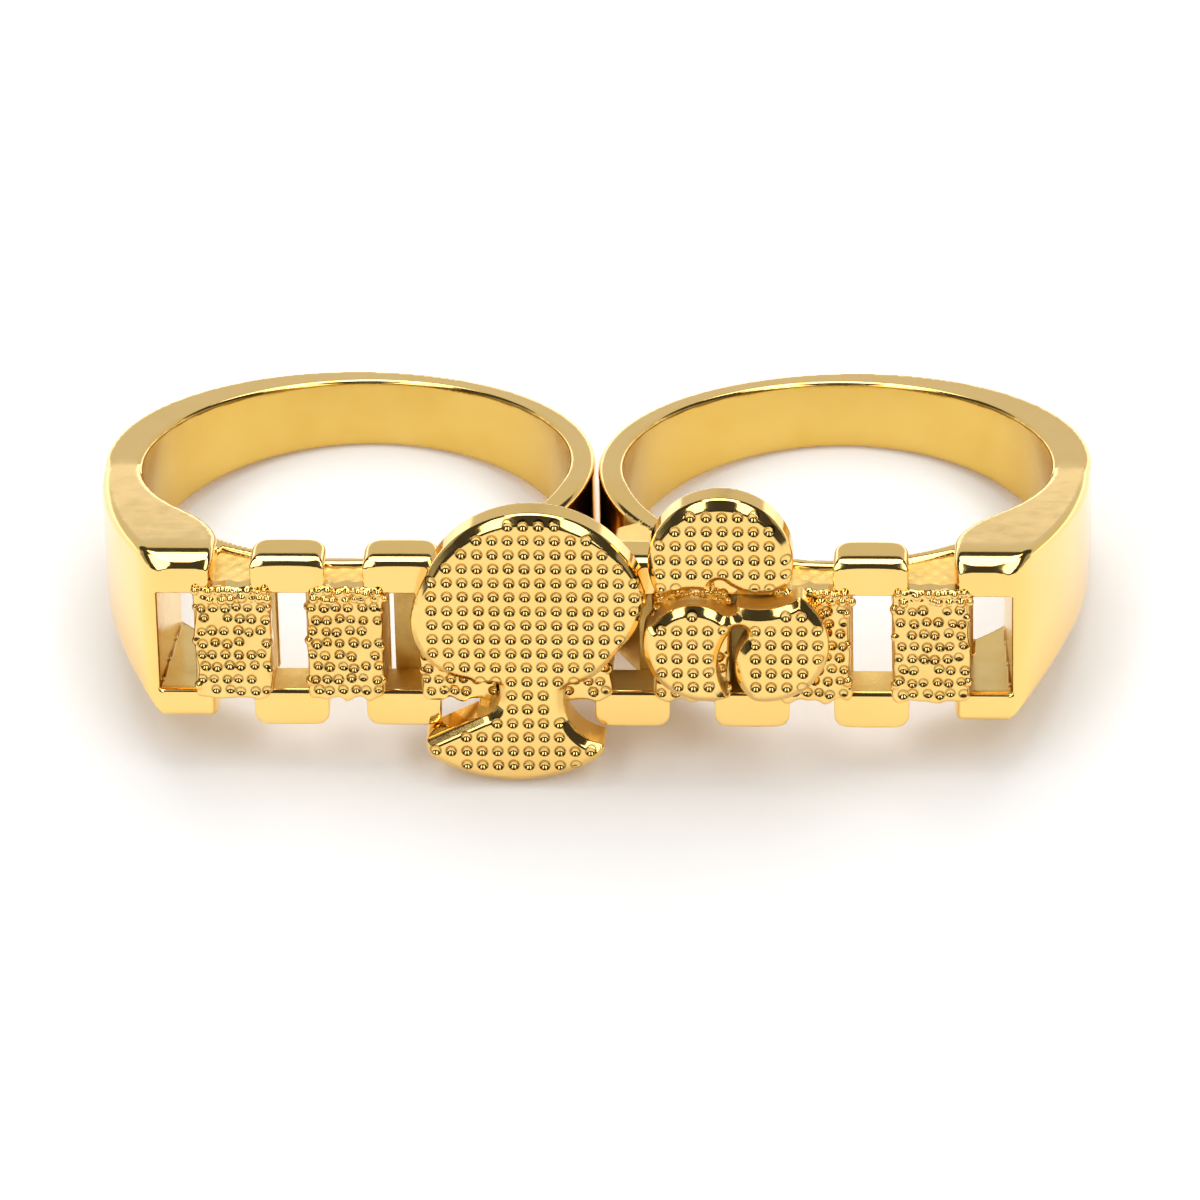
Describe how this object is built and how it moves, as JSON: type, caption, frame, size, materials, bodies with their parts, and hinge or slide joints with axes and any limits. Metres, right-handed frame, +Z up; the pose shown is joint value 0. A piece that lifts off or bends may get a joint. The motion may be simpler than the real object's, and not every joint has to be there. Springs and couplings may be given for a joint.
{
  "type": "two finger ring",
  "caption": "Two finger ring: a pair of round shanks joined in front by an openwork bar of blocks and dimpled links, with raised dimpled figures on it.",
  "frame": {"origin": "middle of the bounding box, on the surface that the ring rests on", "axes": "+X across both finger holes, to the right as the figures are read; -Y the way the figures face; +Z up"},
  "size_m": [0.0418, 0.0241, 0.0133],
  "materials": {
    "gold": "polished yellow gold"
  },
  "bodies": {
    "root": {"two_finger_ring": "gold"}
  },
  "joints": []
}
